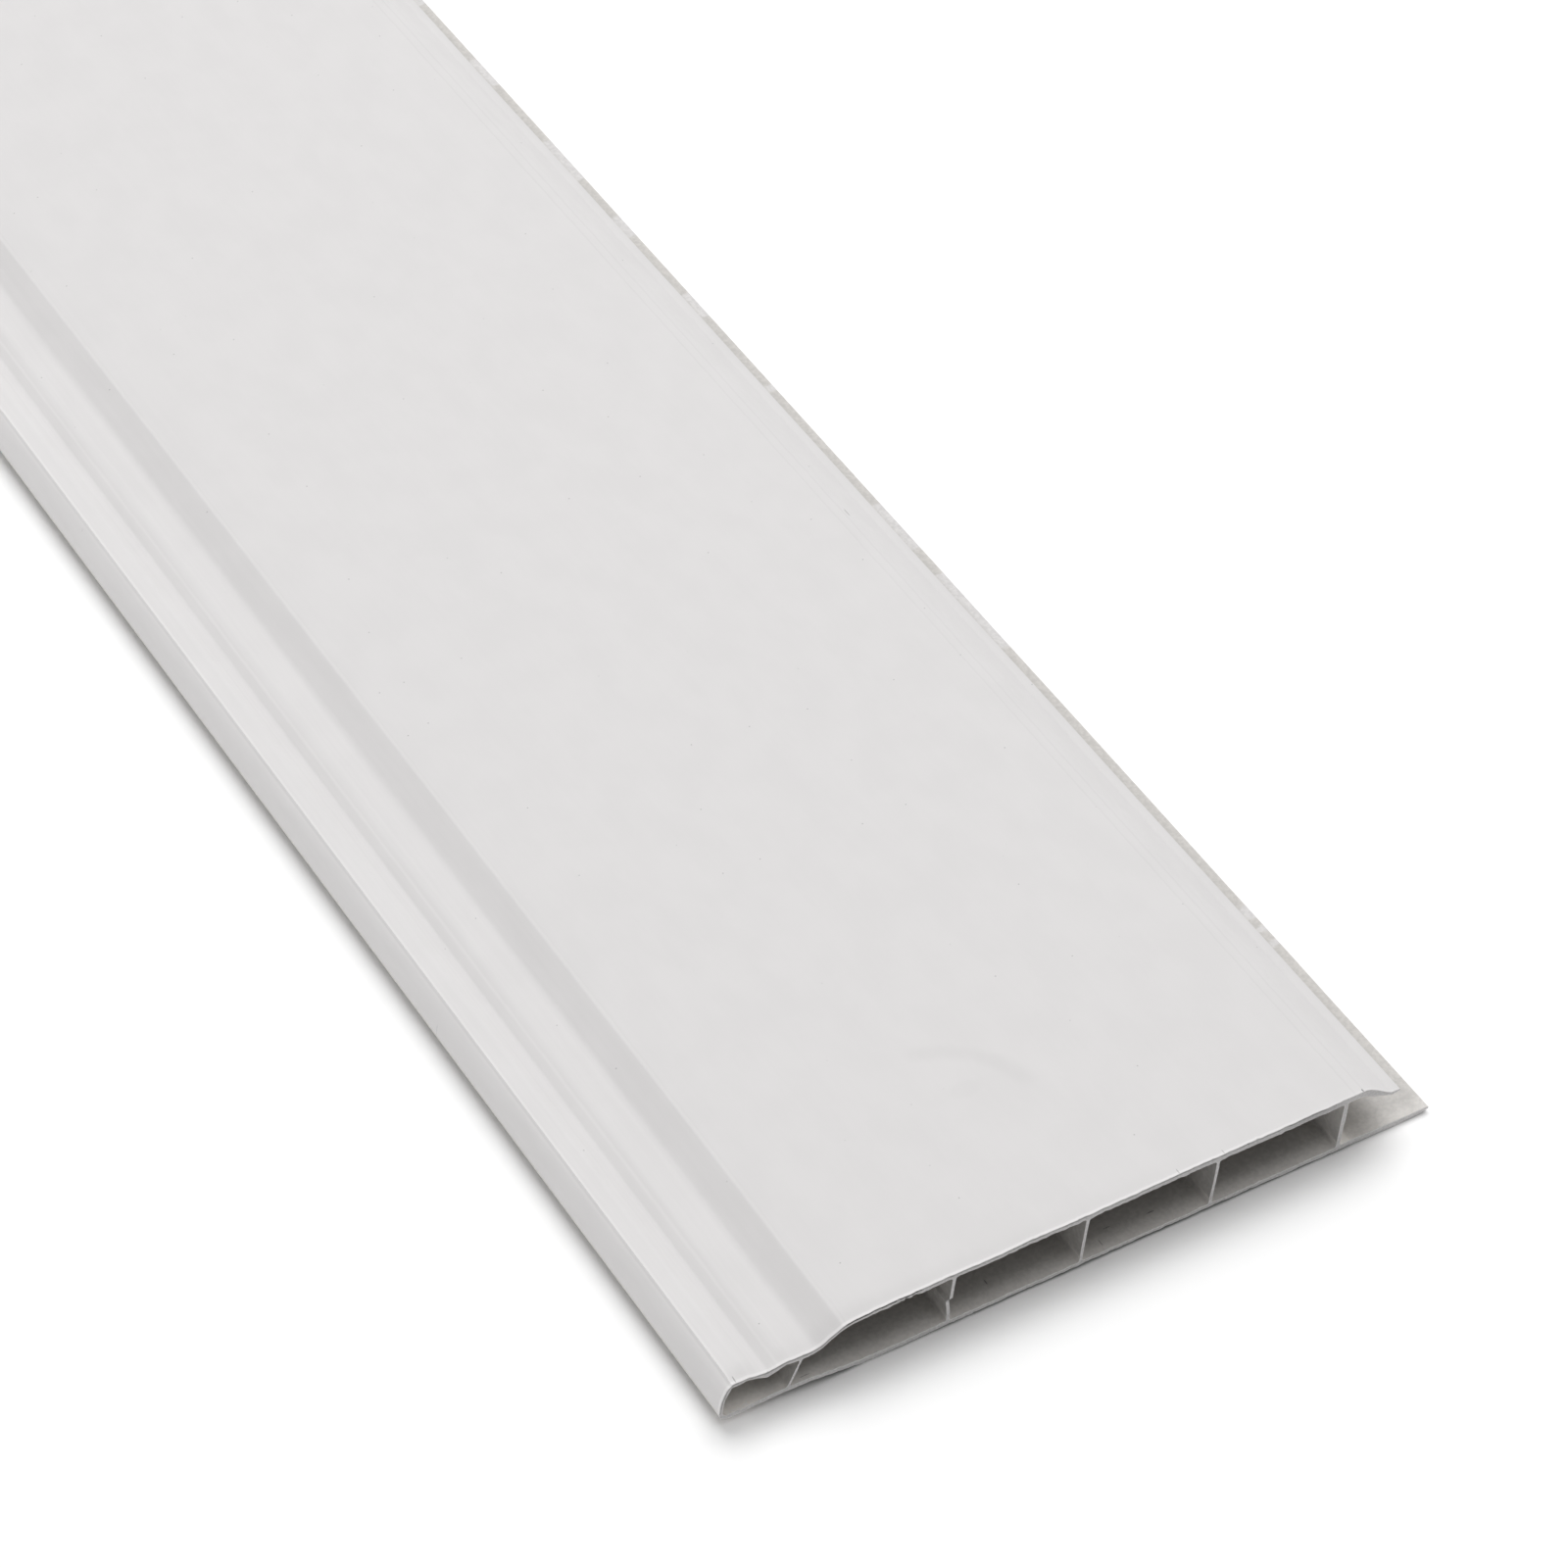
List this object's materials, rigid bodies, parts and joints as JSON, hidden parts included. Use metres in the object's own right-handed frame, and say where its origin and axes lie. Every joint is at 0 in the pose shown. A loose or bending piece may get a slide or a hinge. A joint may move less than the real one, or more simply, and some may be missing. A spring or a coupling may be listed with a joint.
{
  "type": "hollow soffit board",
  "caption": "Long hollow PVC soffit board with a rounded tongue, a recessed groove strip, a hooked lip and a nailing flange, divided into cells by leaning webs.",
  "frame": {"origin": "under the middle of the board, on the level of its flat back", "axes": "+X runs across the board from the tongue's nose to the nailing flange, +Y runs along its length away from the sawn end with the torn web, +Z comes out of the show face"},
  "size_m": [0.114, 2.5, 0.01],
  "materials": {
    "white_pvc": "satin"
  },
  "bodies": {
    "root": {"soffit_board": "white_pvc"}
  },
  "joints": []
}
